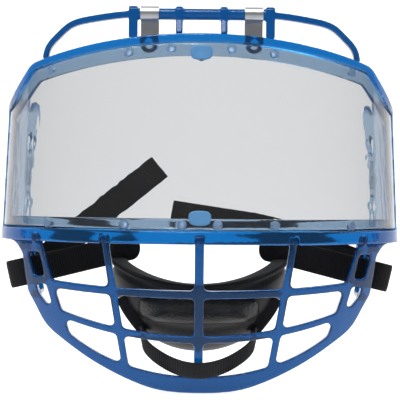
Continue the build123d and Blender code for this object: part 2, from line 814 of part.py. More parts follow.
def make_snaps():
    """Two snap caps with shanks through the cup's shell."""
    with BuildPart() as snaps:
        for plane in snap_planes():
            with BuildSketch(plane.offset(SNAP_LIFT)):
                Circle(SNAP_R)
            extrude(amount=SNAP_T, taper=SNAP_TAPER)
            with BuildSketch(plane.offset(SHANK_INSET - CUP_SHELL_T)):
                Circle(SNAP_SHANK_R)
            extrude(amount=CUP_SHELL_T - SHANK_INSET + SNAP_LIFT)
    return snaps.part


def make_chin_strap(side):
    """Webbing on edge from the cup's rear edge, behind the strap bar, round the keeper and back."""
    lean = radians(STRAP_TILT)
    pivot_x, pivot_z = STRAP_PIVOT
    plane = Plane(
        origin=(side * pivot_x, 0, pivot_z),
        x_dir=(cos(lean), 0, -side * sin(lean)),
        z_dir=(side * sin(lean), 0, cos(lean)),
    )
    with BuildPart() as webbing:
        with BuildSketch(plane):
            with BuildLine() as path:
                FilletPolyline(*[(side * (x - pivot_x) / cos(lean), y) for x, y in STRAP_PLAN], radius=STRAP_BEND)
            trace(path.line, line_width=STRAP_T)
        extrude(amount=STRAP_W / 2, both=True)
    return webbing.part


def tail_plane(name):
    """Plane on a strap tail's front face, from its lower end towards its free end, and its length."""
    low, high, _ = TAILS[name]
    run = Vector(high) - Vector(low)
    across = run.cross(Vector(0, -1, 0))
    return Plane(origin=low, x_dir=run, z_dir=run.cross(across)), run.length


def make_tail(name):
    """Free end of the webbing behind the lens, hemmed at its end."""
    plane, length = tail_plane(name)
    bow = TAILS[name][2]
    with BuildPart() as tail:
        with BuildSketch(plane):
            with BuildLine() as path:
                if bow:
                    ThreePointArc((0, 0), (length / 2, bow), (length, 0))
                else:
                    Line((0, 0), (length, 0))
            trace(path.line, line_width=STRAP_W)
        extrude(amount=STRAP_T)
        with BuildSketch(plane.offset(STRAP_T)):
            with BuildLine() as path_end:
                Line((length - TAIL_HEM, 0), (length, 0))
            trace(path_end.line, line_width=STRAP_W)
        extrude(amount=STRAP_T)
    return tail.part


def make_hook_patch(name):
    """Hook-and-loop patch on a tail's front face, where it holds to the strap in front of it."""
    plane, _ = tail_plane(name)
    with BuildPart() as patch:
        with BuildSketch(plane):
            with Locations((PATCH_L / 2 + PATCH_START, 0)):
                RectangleRounded(PATCH_L, PATCH_W, PATCH_W / 8)
        extrude(amount=-PATCH_T)
    return patch.part


def make_lower_strap():
    """Narrow webbing from the cup's two snaps round the front of the cage's centre bar."""
    lean = radians(LOWER_STRAP_TILT)
    plane = Plane(origin=LOWER_STRAP_NOSE, x_dir=(1, 0, 0), z_dir=(0, -sin(lean), cos(lean)))
    right = list(LOWER_STRAP_PLAN)
    left = [(-x, y) for x, y in reversed(right)]
    with BuildPart() as webbing:
        with BuildSketch(plane):
            with BuildLine() as path:
                FilletPolyline(*right, *left, radius=LOWER_STRAP_BEND)
            trace(path.line, line_width=LOWER_STRAP_T)
        extrude(amount=LOWER_STRAP_W / 2, both=True)
    return webbing.part


def make_pieces():
    """Every piece of the mask, by name."""
    stud_rows = [stud_planes(0)[: 2 * len(STUDS_TOP_X)], stud_planes(0)[2 * len(STUDS_TOP_X) :]]
    liner_out = -CUP_SHELL_T - CUP_FIT
    liner_in = liner_out - CUP_LINER_T
    pieces = {
        "visor_frame": make_visor_frame(),
        "brow_guard": make_brow_guard(),
        "chin_cage": make_chin_cage(),
        "lens": make_lens(),
        "lens_studs_top": make_studs(stud_rows[0]),
        "lens_studs_bottom": make_studs(stud_rows[1]),
        "cup_shell": make_cup_shell(),
        "cup_liner": make_cup_layer(liner_out, liner_in, LIP_H),
        "cup_edge_binding": make_cup_layer(LIP_PROUD, liner_in - LIP_PROUD, 0, LIP_H - CUP_FIT),
        "cup_front_pad": make_front_pad(),
        "cup_snaps": make_snaps(),
        "lower_strap": make_lower_strap(),
    }
    for place, plane in zip(("top", "bottom"), lock_planes(0)):
        pieces[f"lens_lock_{place}"] = make_lock(plane)
        pieces[f"lock_keeper_{place}"] = make_lock_keeper(plane)
    for name, side in (("left", -1), ("right", 1)):
        pieces[f"blank_label_{name}"] = make_label(side)
        pieces[f"brow_clip_{name}"] = make_clip(side)
        pieces[f"chin_strap_{name}"] = make_chin_strap(side)
        pieces[f"strap_tail_{name}"] = make_tail(name)
        pieces[f"hook_patch_{name}"] = make_hook_patch(name)
    return pieces


def main():
    """Write every piece to parts/, one file each."""
    os.makedirs("parts", exist_ok=True)
    for name, piece in make_pieces().items():
        piece.label = name
        export_step(piece, f"parts/{name}.step")


if __name__ == "__main__":
    main()
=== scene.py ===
"""Looks of a hybrid ice-hockey face mask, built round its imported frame.

The mouldings, the lens, the chin cup and the webbing each have a class that builds their meshes
and gives them their finish. Lengths in the classes are in millimetres unless a name says
otherwise; meshes are in metres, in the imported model's own frame.
"""

from __future__ import annotations

import logging
import math
from dataclasses import dataclass, field
from enum import Enum
from typing import Callable, Sequence

import bmesh
import bpy
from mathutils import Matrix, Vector

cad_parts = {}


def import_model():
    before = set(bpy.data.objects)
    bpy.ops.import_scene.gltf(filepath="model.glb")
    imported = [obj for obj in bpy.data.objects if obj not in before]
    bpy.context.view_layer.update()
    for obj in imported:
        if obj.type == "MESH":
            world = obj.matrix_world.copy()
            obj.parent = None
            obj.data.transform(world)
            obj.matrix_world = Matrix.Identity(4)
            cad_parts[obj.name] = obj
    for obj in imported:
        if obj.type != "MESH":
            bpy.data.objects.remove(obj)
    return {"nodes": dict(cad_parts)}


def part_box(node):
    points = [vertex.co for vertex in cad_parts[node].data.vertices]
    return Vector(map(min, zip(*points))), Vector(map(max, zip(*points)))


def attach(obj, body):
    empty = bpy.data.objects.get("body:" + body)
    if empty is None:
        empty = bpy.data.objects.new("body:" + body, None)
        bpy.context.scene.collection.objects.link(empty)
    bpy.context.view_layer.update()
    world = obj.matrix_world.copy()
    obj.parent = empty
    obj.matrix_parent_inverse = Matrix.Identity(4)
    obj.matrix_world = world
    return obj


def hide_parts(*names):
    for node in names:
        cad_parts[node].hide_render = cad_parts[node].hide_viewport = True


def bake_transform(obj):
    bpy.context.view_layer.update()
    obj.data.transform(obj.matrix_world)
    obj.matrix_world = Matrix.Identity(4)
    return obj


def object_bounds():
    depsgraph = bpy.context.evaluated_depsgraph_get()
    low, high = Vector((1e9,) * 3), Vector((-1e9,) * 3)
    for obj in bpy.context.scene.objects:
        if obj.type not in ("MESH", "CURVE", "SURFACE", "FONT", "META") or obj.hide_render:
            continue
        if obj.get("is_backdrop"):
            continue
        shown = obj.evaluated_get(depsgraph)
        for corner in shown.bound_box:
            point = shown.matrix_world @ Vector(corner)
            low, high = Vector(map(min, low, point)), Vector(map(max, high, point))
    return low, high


MM = 0.001
LOG = logging.getLogger("mask")
Point = tuple[float, float, float]
Nodes = dict[str, bpy.types.Object]
Material = bpy.types.Material


class Side(Enum):
    """The two sides of the mask, as seen by someone facing it."""

    LEFT = -1
    RIGHT = 1

    @property
    def word(self) -> str:
        """The side's name as it ends a node's name."""
        return self.name.lower()


class Grain(Enum):
    """Kinds of surface that the black soft parts have."""

    PEBBLED = "pebbled"
    FOAM = "foam"


# ---------------------------------------------------------------------------
# Shader helpers


class Value:
    """A shader output that takes part in arithmetic, adding Math nodes as it goes."""

    def __init__(self, tree: "Tree", socket: bpy.types.NodeSocket) -> None:
        """Wraps one output socket.

        Args:
            tree: The tree that the socket belongs to.
            socket: The output socket.
        """
        self.tree = tree
        self.socket = socket

    def _math(self, operation: str, first: "Value | float", second: "Value | float") -> "Value":
        """Adds one Math node and returns its result."""
        return self.tree.value("ShaderNodeMath", "Value", {"operation": operation}, {0: first, 1: second})

    def __add__(self, other: "Value | float") -> "Value":
        """Returns self + other."""
        return self._math("ADD", self, other)

    __radd__ = __add__

    def __sub__(self, other: "Value | float") -> "Value":
        """Returns self - other."""
        return self._math("SUBTRACT", self, other)

    def __rsub__(self, other: "Value | float") -> "Value":
        """Returns other - self."""
        return self._math("SUBTRACT", other, self)

    def __mul__(self, other: "Value | float") -> "Value":
        """Returns self * other."""
        return self._math("MULTIPLY", self, other)

    __rmul__ = __mul__

    def __pow__(self, other: "Value | float") -> "Value":
        """Returns self to the power of other."""
        return self._math("POWER", self, other)

    def sine(self) -> "Value":
        """Returns the sine of the value, in radians."""
        return self._math("SINE", self, 0.0)

    def between_0_and_1(self) -> "Value":
        """Returns the value, held between 0 and 1."""
        return self._math("MINIMUM", self._math("MAXIMUM", self, 0.0), 1.0)


class Tree:
    """The node tree of one new material."""

    def __init__(self, name: str) -> None:
        """Makes an empty material.

        Args:
            name: The material's name.
        """
        self.material = bpy.data.materials.new(name)
        self.material.use_nodes = True
        self.nodes = self.material.node_tree.nodes
        self.links = self.material.node_tree.links
        self.nodes.clear()

    def node(
        self, kind: str, settings: dict | None = None, inputs: dict | None = None
    ) -> bpy.types.Node:
        """Adds one node of any kind.

        Args:
            kind: Blender's name for the node's type.
            settings: Properties that are set first.
            inputs: Sockets by name or number, each a number, a colour, a Value or an output socket.

        Returns:
            The new node.
        """
        made = self.nodes.new(kind)
        for name, setting in (settings or {}).items():
            setattr(made, name, setting)
        for key, given in (inputs or {}).items():
            source = given.socket if isinstance(given, Value) else given
            if isinstance(source, bpy.types.NodeSocket):
                self.links.new(source, made.inputs[key])
            else:
                made.inputs[key].default_value = source
        return made

    def value(
        self, kind: str, output: str, settings: dict | None = None, inputs: dict | None = None
    ) -> Value:
        """Adds one node and wraps the named output."""
        return Value(self, self.node(kind, settings, inputs).outputs[output])

    def place(self, output: str = "Object") -> Value:
        """Returns texture coordinates."""
        return self.value("ShaderNodeTexCoord", output)

    def noise(self, scale: float, detail: float = 3.0, vector: Value | None = None) -> Value:
        """Returns a noise between 0 and 1, in the mesh's own space unless a vector is given."""
        return self.value(
            "ShaderNodeTexNoise",
            "Fac",
            None,
            {"Vector": vector or self.place(), "Scale": scale, "Detail": detail},
        )

    def stretched(self, factors: Point) -> Value:
        """Returns the mesh's own coordinates scaled by a factor along each axis."""
        inputs = {0: self.place(), 1: factors}
        return self.value("ShaderNodeVectorMath", "Vector", {"operation": "MULTIPLY"}, inputs)

    def mix(self, factor: Value, low: tuple, high: tuple) -> Value:
        """Returns a colour between two, by a factor; the node's colour sockets are numbers 6, 7 and 2."""
        colours = {0: factor, 6: (*low, 1.0), 7: (*high, 1.0)}
        return Value(self, self.node("ShaderNodeMix", {"data_type": "RGBA"}, colours).outputs[2])

    def axes(self, output: str = "Object") -> tuple[Value, Value, Value]:
        """Returns the three parts of the texture coordinates; the mesh's own are in metres."""
        split = self.node("ShaderNodeSeparateXYZ", None, {"Vector": self.place(output)})
        x, y, z = (Value(self, split.outputs[name]) for name in "XYZ")
        return x, y, z

    def tint(self, colour: Point, density: float) -> bpy.types.Node:
        """Returns a volume that absorbs light on its way through, more where the wall is thicker."""
        return self.node("ShaderNodeVolumeAbsorption", None, {"Color": (*colour, 1.0), "Density": density})

    def bump(self, height: Value, distance_mm: float) -> Value:
        """Returns a normal bent by a height that runs from 0 to 1."""
        return self.value(
            "ShaderNodeBump",
            "Normal",
            None,
            {"Height": height, "Distance": distance_mm * MM, "Strength": 1.0},
        )

    def finish(self, inputs: dict, volume: bpy.types.Node | None = None) -> Material:
        """Adds the surface shader and the output.

        Args:
            inputs: The Principled shader's sockets.
            volume: A volume shader, if the material has one.

        Returns:
            The finished material.
        """
        surface = self.node("ShaderNodeBsdfPrincipled", None, inputs)
        output = self.node("ShaderNodeOutputMaterial", None, {"Surface": surface.outputs["BSDF"]})
        if volume:
            self.links.new(volume.outputs["Volume"], output.inputs["Volume"])
        return self.material


# ---------------------------------------------------------------------------
# Finishes


@dataclass(frozen=True)
class ClearPlastic:
    """Clear polycarbonate, tinted through its thickness."""

    name: str
    tint: Point
    density: float
    roughness: float = 0.01
    scuffs: float = 0.01

    def make(self) -> Material:
        """Returns the material: clear, with the faintest of scuffs."""
        tree = Tree(self.name)
        scuff = tree.noise(900.0, 4.0, tree.stretched((1.0, 1.0, 0.25)))
        patches = tree.noise(35.0, 2.0)
        return tree.finish(
            {
                "Base Color": (0.96, 0.98, 1.0, 1.0),
                "Transmission Weight": 1.0,
                "IOR": 1.58,
                "Roughness": self.roughness + self.scuffs * (scuff * patches) ** 2.0,
            },
            tree.tint(self.tint, self.density),
        )


@dataclass(frozen=True)
class ThickZones:
    """Where the visor frame is thick, in metres: its rim, its band and its side ribs."""

    rim_low: float = -0.0156  # the rim's lower edge, at the middle of the face
    rim_bow: float = 1.45  # how fast it dips towards the sides, with the square of the place across
    shoulder: float = 0.088
    shoulder_slope: float = 0.72
    band_top: float = -0.1112
    rib_middle: float = 0.0715
    rib_half: float = 0.0045
    rib_strength: float = 0.8
    sharpness: float = 900.0

    def factor(self, tree: Tree) -> Value:
        """Returns 1 in the thick parts and 0 in the thin walls."""
        x, y, z = tree.axes()
        outside = (x * x) ** 0.5 - self.shoulder
        level = z + x * x * self.rim_bow + outside.between_0_and_1() * self.shoulder_slope
        rim = ((level - self.rim_low) * self.sharpness).between_0_and_1()
        band = ((z - self.band_top) * -self.sharpness).between_0_and_1()
        off_rib = y - self.rib_middle
        rib = (1.0 - ((off_rib * off_rib) ** 0.5 - self.rib_half) * self.sharpness).between_0_and_1()
        return (rim + band + rib * self.rib_strength).between_0_and_1()


@dataclass(frozen=True)
class MilkyPlastic:
    """Translucent moulded polycarbonate: light passes through, and some of it scatters back."""

    name: str
    pale: Point
    deep: Point
    clearness: float
    density: float
    tint: Point = (0.10, 0.55, 0.80)
    roughness: float = 0.09
    ripple_mm: float = 0.004
    zones: ThickZones | None = None

    def make(self) -> Material:
        """Returns the material: clouded, or pale in thin walls and deep in thick ones if it has zones."""
        tree = Tree(self.name)
        flow = tree.noise(45.0, 2.0)
        cloud = tree.noise(28.0, 3.0)
        depth = self.zones.factor(tree) if self.zones else 0.5 + 0.5 * cloud
        return tree.finish(
            {
                "Base Color": tree.mix(depth, self.pale, self.deep),
                "Transmission Weight": self.clearness,
                "IOR": 1.4,
                "Specular IOR Level": 0.2,
                "Roughness": self.roughness + 0.04 * cloud,
                "Normal": tree.bump(flow, self.ripple_mm),
            },
            tree.tint(self.tint, self.density),
        )


@dataclass(frozen=True)
class BrushedSteel:
    """Pressed spring steel with a fine brushed grain."""

    name: str
    colour: Point = (0.60, 0.61, 0.64)
    roughness: float = 0.24

    def make(self) -> Material:
        """Returns the material: grain lines along the strip, darker tarnish in patches."""
        tree = Tree(self.name)
        grain = tree.noise(700.0, 4.0, tree.stretched((6.0, 0.6, 0.6)))
        tarnish = tree.noise(180.0, 3.0)
        dull = tuple(0.72 * c for c in self.colour)
        return tree.finish(
            {
                "Base Color": tree.mix(tarnish, dull, self.colour),
                "Metallic": 1.0,
                "Roughness": self.roughness + 0.16 * grain,
                "Normal": tree.bump(grain, 0.02),
            }
        )


@dataclass(frozen=True)
class BlackSkin:
    """Black pebbled or foamed surface of the chin cup, with painted shade in its grain's hollows."""

    name: str
    grain: Grain
    colour: Point = (0.004, 0.004, 0.005)
    patches_and_lit_crests: Point = (0.012, 0.012, 0.014)
    roughness: float = 0.36
    cell_per_m: float = 620.0
    depth_mm: float = 0.16

    def make(self) -> Material:
        """Returns the material, with a grain of the asked kind."""
        tree = Tree(self.name)
        patches = tree.noise(70.0, 3.0)
        fine = tree.noise(2600.0, 3.0)
        if self.grain is Grain.PEBBLED:
            cells = tree.value(
                "ShaderNodeTexVoronoi",
                "Distance",
                {"feature": "SMOOTH_F1"},
                {"Vector": tree.place(), "Scale": self.cell_per_m, "Smoothness": 0.35},
            )
            height = 1.0 - cells * 1.1 + 0.12 * fine
        else:
            height = tree.noise(1500.0, 5.0) + 0.4 * fine
        # Lighter in random patches and on the grain's raised crests; the crests' lighter colour over darker
        # hollows is painted shade.
        return tree.finish(
            {
                "Base Color": tree.mix((patches * 0.7 + height * 0.3) ** 1.5, self.colour, self.patches_and_lit_crests),
                "Roughness": self.roughness + 0.18 * patches,
                "Specular IOR Level": 0.35,
                "Normal": tree.bump(height, self.depth_mm),
            }
        )


@dataclass(frozen=True)
class Weave:
    """Black webbing: ribs across, warp threads along, on coordinates measured in millimetres, with painted
    shade in the weave's hollows.
    """

    name: str
    colour: Point = (0.002, 0.002, 0.003)
    lit_threads_and_fuzz: Point = (0.008, 0.008, 0.011)
    warp_mm: float = 0.85
    weft_mm: float = 0.65

    def make(self) -> Material:
        """Returns the material, read along and across the strap from its UV map."""
        tree = Tree(self.name)
        along, across, _ = tree.axes("UV")
        ridge = (across * (2.0 * math.pi / self.warp_mm)).sine() * 0.5 + 0.5
        stagger = (across * (math.pi / self.warp_mm)).sine()
        beat = (along * (2.0 * math.pi / self.weft_mm) + stagger * 1.6).sine() * 0.5 + 0.5
        fuzz = tree.noise(4200.0, 4.0)
        height = ridge * beat + 0.35 * fuzz
        # Painted shade: the colour follows the weave's height, darker in its hollows and lighter on its
        # raised threads; the fuzz adds random tone.
        return tree.finish(
            {
                "Base Color": tree.mix(height * 0.8, self.colour, self.lit_threads_and_fuzz),
                "Roughness": 0.62 + 0.2 * fuzz,
                "Sheen Weight": 0.06,
                "Specular IOR Level": 0.3,
                "Sheen Roughness": 0.45,
                "Normal": tree.bump(height, 0.16),
            }
        )


@dataclass(frozen=True)
class PlainSolid:
    """Opaque plastic, thread or film in one colour with a fine tooth."""

    name: str
    colour: Point
    roughness: float = 0.45
    tooth_per_m: float = 1800.0
    tooth_mm: float = 0.02

    def make(self) -> Material:
        """Returns the material."""
        tree = Tree(self.name)
        tooth = tree.noise(self.tooth_per_m, 3.0)
        patches = tree.noise(120.0, 2.0)
        deep = tuple(0.8 * c for c in self.colour)
        return tree.finish(
            {
                "Base Color": tree.mix(patches, deep, self.colour),
                "Roughness": self.roughness + 0.1 * tooth,
                "Normal": tree.bump(tooth, self.tooth_mm),
            }
        )


def made(make: Callable[[], Material]) -> Material:
    """Returns a dataclass field that holds what a finish makes."""
    return field(init=False, default_factory=make)


@dataclass
class Finishes:
    """Every material of the mask, made once."""

    frame_blue: Material = made(
        MilkyPlastic(
            "frame_blue", (0.54, 0.71, 0.90), (0.004, 0.18, 0.50), 0.84, 90.0, zones=ThickZones()
        ).make
    )
    cage_blue: Material = made(
        MilkyPlastic("cage_blue", (0.002, 0.15, 0.40), (0.001, 0.08, 0.28), 0.72, 110.0).make
    )
    lens: Material = made(ClearPlastic("lens_clear", (0.10, 0.10, 0.105), 290.0).make)
    stud: Material = made(
        MilkyPlastic("stud_clear", (0.50, 0.66, 0.86), (0.42, 0.60, 0.84), 0.8, 40.0, roughness=0.3).make
    )
    lock: Material = made(
        MilkyPlastic("lock_plastic", (0.20, 0.46, 0.76), (0.14, 0.38, 0.72), 0.35, 60.0, roughness=0.3).make
    )
    steel: Material = made(BrushedSteel("clip_steel").make)
    label: Material = made(PlainSolid("label_white", (0.55, 0.62, 0.70), 0.35).make)
    cup: Material = made(BlackSkin("cup_black", Grain.PEBBLED, depth_mm=0.07, roughness=0.40).make)
    pebbled: Material = made(BlackSkin("cup_pebbled", Grain.PEBBLED, depth_mm=0.2, roughness=0.28).make)
    foam: Material = made(BlackSkin("foam_black", Grain.FOAM, depth_mm=0.1, roughness=0.75).make)
    weave: Material = made(Weave("webbing_black").make)
    binding: Material = made(Weave("binding_black", warp_mm=0.6, weft_mm=0.5).make)
    thread: Material = made(PlainSolid("thread_black", (0.03, 0.03, 0.034), 0.55, tooth_per_m=5000.0).make)
    hooks: Material = made(
        PlainSolid("hook_black", (0.012, 0.012, 0.013), 0.9, tooth_per_m=3500.0, tooth_mm=0.4).make
    )


# ---------------------------------------------------------------------------
# Mesh helpers


class Skin:
    """A mesh under construction: corners in millimetres, faces and measured coordinates."""

    def __init__(self) -> None:
        """Starts with nothing."""
        self.corners: list[Point] = []
        self.faces: list[tuple[int, ...]] = []
        self.marks: list[tuple[float, float]] = []

    def add(self, corner: Sequence[float], mark: tuple[float, float] = (0.0, 0.0)) -> int:
        """Adds one corner and returns its number."""
        self.corners.append(tuple(corner))
        self.marks.append(mark)
        return len(self.corners) - 1

    def grid(self, rows: Sequence[Sequence[int]], closed: bool = False) -> None:
        """Joins rows of corners with four-sided faces; closed rows meet their own start."""
        for upper, lower in zip(rows, rows[1:]):
            count = len(upper)
            for i in range(count if closed else count - 1):
                j = (i + 1) % count
                self.faces.append((upper[i], upper[j], lower[j], lower[i]))

    def tube(self, rings: Sequence[Sequence[int]]) -> None:
        """Joins rings into a closed tube with a face on each end."""
        self.grid(rings, closed=True)
        self.faces += [tuple(rings[0]), tuple(rings[-1])]

    def shell(self, front: Sequence[Sequence[int]], back: Sequence[Sequence[int]]) -> None:
        """Joins two sheets of the same size into a closed shell."""
        self.grid(front)
        self.grid(back)
        self.grid([self.border(front), self.border(back)], closed=True)

    @staticmethod
    def border(rows: Sequence[Sequence[int]]) -> list[int]:
        """Returns the corners round a sheet's edge, in order."""
        right = [row[-1] for row in rows[1:]]
        left = [row[0] for row in rows[-2:0:-1]]
        return [*rows[0], *right, *rows[-1][-2::-1], *left]

    def piece(self, name: str, material: Material) -> bpy.types.Object:
        """Makes the Blender object.

        Args:
            name: The piece's name.
            material: Its material.

        Returns:
            A smooth-shaded mesh object with its faces turned outwards.
        """
        mesh = bpy.data.meshes.new(name)
        mesh.from_pydata([[c * MM for c in corner] for corner in self.corners], [], self.faces)
        marks = mesh.uv_layers.new(name="measured")
        for loop in mesh.loops:
            marks.data[loop.index].uv = self.marks[loop.vertex_index]
        return place_mesh(mesh, name, material)


def place_mesh(mesh: bpy.types.Mesh, name: str, material: Material) -> bpy.types.Object:
    """Puts a mesh in the scene as a smooth piece with its faces turned outwards."""
    work = bmesh.new()
    work.from_mesh(mesh)
    bmesh.ops.recalc_face_normals(work, faces=work.faces)
    work.to_mesh(mesh)
    work.free()
    mesh.polygons.foreach_set("use_smooth", [True] * len(mesh.polygons))
    piece = bpy.data.objects.new(name, mesh)
    bpy.context.scene.collection.objects.link(piece)
    give(piece, material)
    return piece


def give(piece: bpy.types.Object, material: Material) -> None:
    """Makes one material a piece's only one."""
    piece.data.materials.clear()
    piece.data.materials.append(material)


def applied(piece: bpy.types.Object) -> bpy.types.Object:
    """Turns a piece's modifiers into its own mesh."""
    graph = bpy.context.evaluated_depsgraph_get()
    mesh = bpy.data.meshes.new_from_object(piece.evaluated_get(graph))
    old = piece.data
    piece.modifiers.clear()
    piece.data = mesh
    mesh.name = piece.name
    bpy.data.meshes.remove(old)
    mesh.polygons.foreach_set("use_smooth", [True] * len(mesh.polygons))
    return piece


@dataclass
class Moulding:
    """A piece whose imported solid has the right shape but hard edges, flowed into a moulded skin."""

    node: str
    body: str
    slot: str
    material: Material
    name: str
    voxel: float = 0.7
    rounds: int = 8

    def build(self, nodes: Nodes) -> bpy.types.Object:
        """Remeshes a copy of the solid finely and relaxes it.

        Args:
            nodes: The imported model's nodes by name.

        Returns:
            The moulded piece, in place of its node.
        """
        mesh = nodes[self.node].data.copy()
        piece = place_mesh(mesh, self.name, self.material)
        skin = piece.modifiers.new("skin", "REMESH")
        skin.mode = "VOXEL"
        skin.voxel_size = self.voxel * MM
        flow = piece.modifiers.new("flow", "SMOOTH")
        flow.factor = 0.5
        flow.iterations = self.rounds
        applied(piece)
        give(piece, self.material)
        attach(piece, self.body)
        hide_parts(self.node)
        LOG.info("%s: %d faces", self.name, len(piece.data.polygons))
        return piece


def smooth_path(points: Sequence[Sequence[float]], step: float, rounds: int = 4) -> list[Vector]:
    """Rounds a path's corners by cutting them, then divides it evenly.

    Args:
        points: The path's corners, in millimetres.
        step: The distance between the new points, in millimetres.
        rounds: How many times the corners are cut.

    Returns:
        Evenly spaced points from the first corner to the last.
    """
    path = [Vector(p) for p in points]
    for _ in range(rounds):
        cut = [path[0]]
        for a, b in zip(path, path[1:]):
            cut += [a.lerp(b, 0.25), a.lerp(b, 0.75)]
        path = cut + [path[-1]]
    lengths = [0.0]
    for a, b in zip(path, path[1:]):
        lengths.append(lengths[-1] + (b - a).length)
    count = max(2, round(lengths[-1] / step))
    spaced, i = [], 0
    for k in range(count + 1):
        goal = lengths[-1] * k / count
        while i < len(path) - 2 and lengths[i + 1] < goal:
            i += 1
        run = lengths[i + 1] - lengths[i]
        spaced.append(path[i].lerp(path[i + 1], (goal - lengths[i]) / run if run else 0.0))
    return spaced


def tangents(path: Sequence[Vector]) -> list[Vector]:
    """Returns the direction of travel at every point of a path."""
    last = len(path) - 1
    return [(path[min(i + 1, last)] - path[max(i - 1, 0)]).normalized() for i in range(last + 1)]


@dataclass
class Ribbon:
    """A length of webbing: a flat, ribbed band swept along a path."""

    width: float
    thickness: float
    rib_pitch: float = 1.5
    rib_depth: float = 0.16
    around: int = 20
    round_start: float = 0.0

    def section(self, share: float) -> tuple[float, float]:
        """Returns a place on the band's rounded section, for a share of the way round."""
        angle = 2.0 * math.pi * share
        c, s = math.cos(angle), math.sin(angle)
        u = math.copysign(abs(c) ** 0.35, c) * self.width / 2
        n = math.copysign(abs(s) ** 0.55, s) * self.thickness / 2
        return u, n

    def build(
        self,
        name: str,
        path: Sequence[Vector],
        across: Callable[[float], Vector],
        material: Material,
    ) -> bpy.types.Object:
        """Sweeps the band.

        Args:
            name: The piece's name.
            path: Evenly spaced points along the band's middle.
            across: The direction of the band's width, by the share of the way along.
            material: Its material.

        Returns:
            The band, with its ribs in the mesh and its coordinates measured in millimetres.
        """
        skin = Skin()
        rows, gone = [], 0.0
        ways = tangents(path)
        for i, (point, way) in enumerate(zip(path, ways)):
            if i:
                gone += (point - path[i - 1]).length
            wide = across(i / (len(path) - 1))
            wide = (wide - way * wide.dot(way)).normalized()
            proud = way.cross(wide).normalized()
            swell = 1.0 + self.rib_depth * math.sin(2.0 * math.pi * gone / self.rib_pitch)
            narrow = 1.0
            if gone < self.round_start:
                narrow = math.sqrt(max(0.02, 1.0 - (1.0 - gone / self.round_start) ** 2))
            row = []
            for k in range(self.around):
                u, n = self.section(k / self.around)
                edge = 1.0 - 0.25 * (abs(u) / (self.width / 2)) ** 8
                place = point + wide * (u * narrow) + proud * (n * swell * edge)
                row.append(skin.add(place, (gone, u)))
            rows.append(row)
        skin.tube(rows)
        return skin.piece(name, material)


@dataclass
class Stitching:
    """Lines of thread laid over a surface, each stitch a small arched strand."""

    length: float = 2.2
    gap: float = 0.7
    radius: float = 0.24
    around: int = 6
    stations: int = 5

    def sew(self, skin: Skin, start: Vector, end: Vector, proud: Vector) -> None:
        """Adds one straight line of stitches to a skin.

        Args:
            skin: The mesh that takes the stitches.
            start: Where the line starts, on the surface.
            end: Where it ends.
            proud: The surface's outward direction.
        """
        run = end - start
        pitch = self.length + self.gap
        count = max(1, round(run.length / pitch))
        way = run.normalized()
        wide = way.cross(proud).normalized()
        for k in range(count):
            first = start + run * ((k + 0.12) / count)
            last = start + run * ((k + 0.88) / count)
            rows = []
            for i in range(self.stations):
                share = i / (self.stations - 1)
                lift = math.sin(math.pi * share)
                radius = self.radius * (0.45 + 0.55 * lift)
                middle = first.lerp(last, share) + proud * (self.radius * (lift - 0.35))
                ring = []
                for j in range(self.around):
                    angle = 2.0 * math.pi * j / self.around
                    place = middle + (wide * math.cos(angle) + proud * math.sin(angle)) * radius
                    ring.append(skin.add(place))
                rows.append(ring)
            skin.tube(rows)


# ---------------------------------------------------------------------------
# Sub-assemblies


@dataclass
class MouldedShell:
    """The visor frame, the brow guard and the chin cage, all in the same blue plastic."""

    finishes: Finishes

    def build(self, nodes: Nodes) -> None:
        """Builds the three mouldings."""
        blue = self.finishes
        Moulding("visor_frame", "mask", "frame_blue", blue.frame_blue, "frame_moulding", 0.6, 10).build(nodes)
        Moulding("brow_guard", "mask", "frame_blue", blue.cage_blue, "guard_moulding", 0.45, 7).build(nodes)
        Moulding("chin_cage", "mask", "cage_blue", blue.cage_blue, "cage_moulding", 0.5, 18).build(nodes)


@dataclass
class LensSet:
    """The lens with its studs, its two quarter-turn locks and their washers."""

    finishes: Finishes
    lock_heights: dict[str, float] = field(default_factory=lambda: {"top": -20.9, "bottom": -105.7})
    lock_half: tuple[float, float] = (5.7, 3.8)
    shank: float = 2.4
    squareness: float = 3.0  # 2 leaves the head an ellipse, and more fills its corners

    def build(self, nodes: Nodes) -> None:
        """Builds the lens and everything that holds it."""
        look = self.finishes
        Moulding("lens", "mask", "lens_clear", look.lens, "lens_sheet", 0.75, 6).build(nodes)
        for row, height in self.lock_heights.items():
            studs = (f"lens_studs_{row}", "mask", "stud_clear", look.stud, f"studs_{row}")
            Moulding(*studs, voxel=0.25, rounds=4).build(nodes)
            lock = (f"lens_lock_{row}", f"lock_{row}", "lock_plastic", look.lock, f"lock_{row}_oval")
            oval = Moulding(*lock, voxel=0.25, rounds=5).build(nodes)
            self.square_off(oval, height)
            give(nodes[f"lock_keeper_{row}"], look.lock)

    def square_off(self, oval: bpy.types.Object, height: float) -> None:
        """Fills out an oval head towards a rounded rectangle, and leaves its shank round.

        Args:
            oval: The lock.
            height: The height of the lock's middle, in millimetres.
        """
        long, short = self.lock_half
        power = self.squareness
        for corner in oval.data.vertices:
            x = corner.co.x / MM / long
            z = (corner.co.z / MM - height) / short
            if math.hypot(x * long, z * short) > self.shank:
                fuller = math.hypot(x, z) / (abs(x) ** power + abs(z) ** power) ** (1.0 / power)
                corner.co.x *= fuller
                corner.co.z = (height + z * fuller * short) * MM


